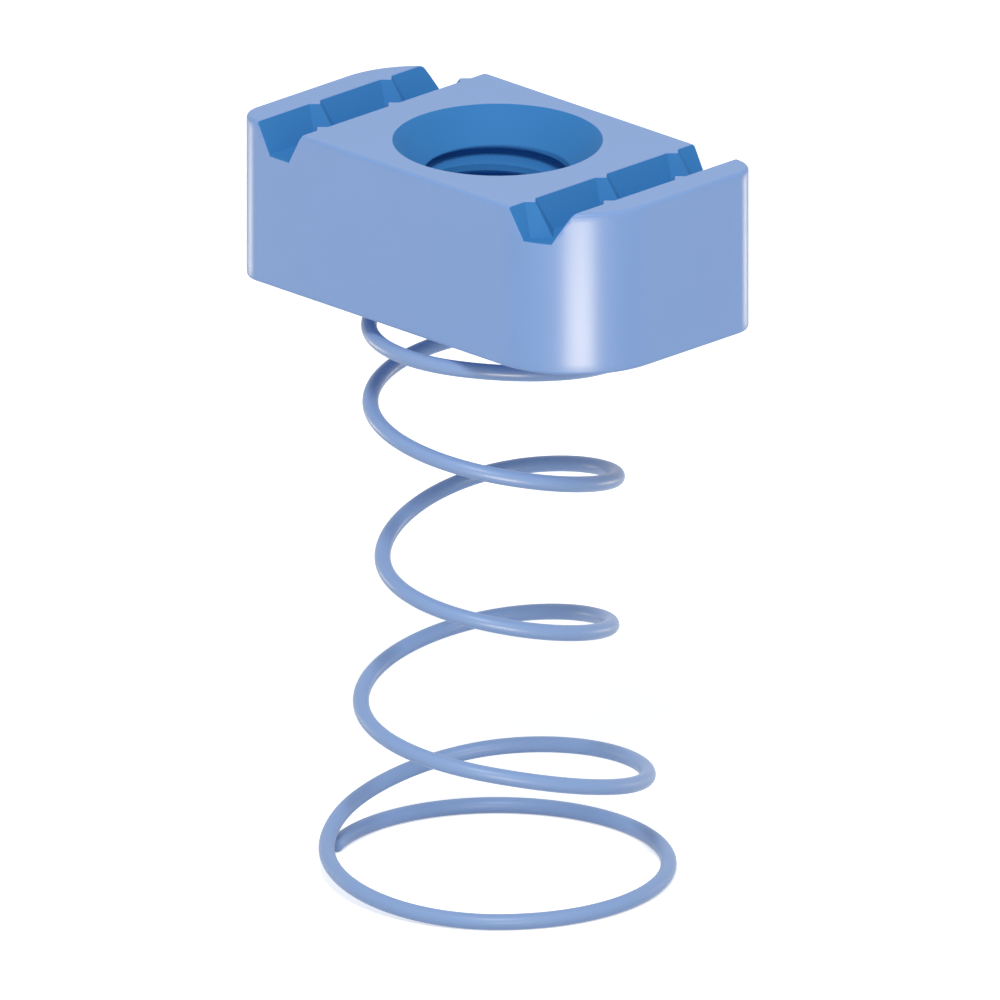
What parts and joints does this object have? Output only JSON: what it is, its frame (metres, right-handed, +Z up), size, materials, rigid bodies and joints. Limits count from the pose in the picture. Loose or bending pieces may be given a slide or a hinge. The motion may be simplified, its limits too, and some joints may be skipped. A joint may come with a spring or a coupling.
{
  "type": "strut spring nut",
  "caption": "Rectangular threaded channel nut with toothed lip grooves, rounded turning corners and a flared coil spring under it.",
  "frame": {"origin": "centre of the footprint, on the surface that the spring's foot ring stands on", "axes": "+Z up along the threaded hole, +X along the nut, +Y across it"},
  "size_m": [0.0356, 0.0262, 0.0575],
  "materials": {
    "plated_steel": "smooth satin plating, light blue on the outer faces and deep blue in the grooves and hole",
    "plated_wire": "smooth satin light blue plated spring wire"
  },
  "bodies": {
    "root": {"nut": "plated_steel", "spring": "plated_wire"}
  },
  "joints": []
}
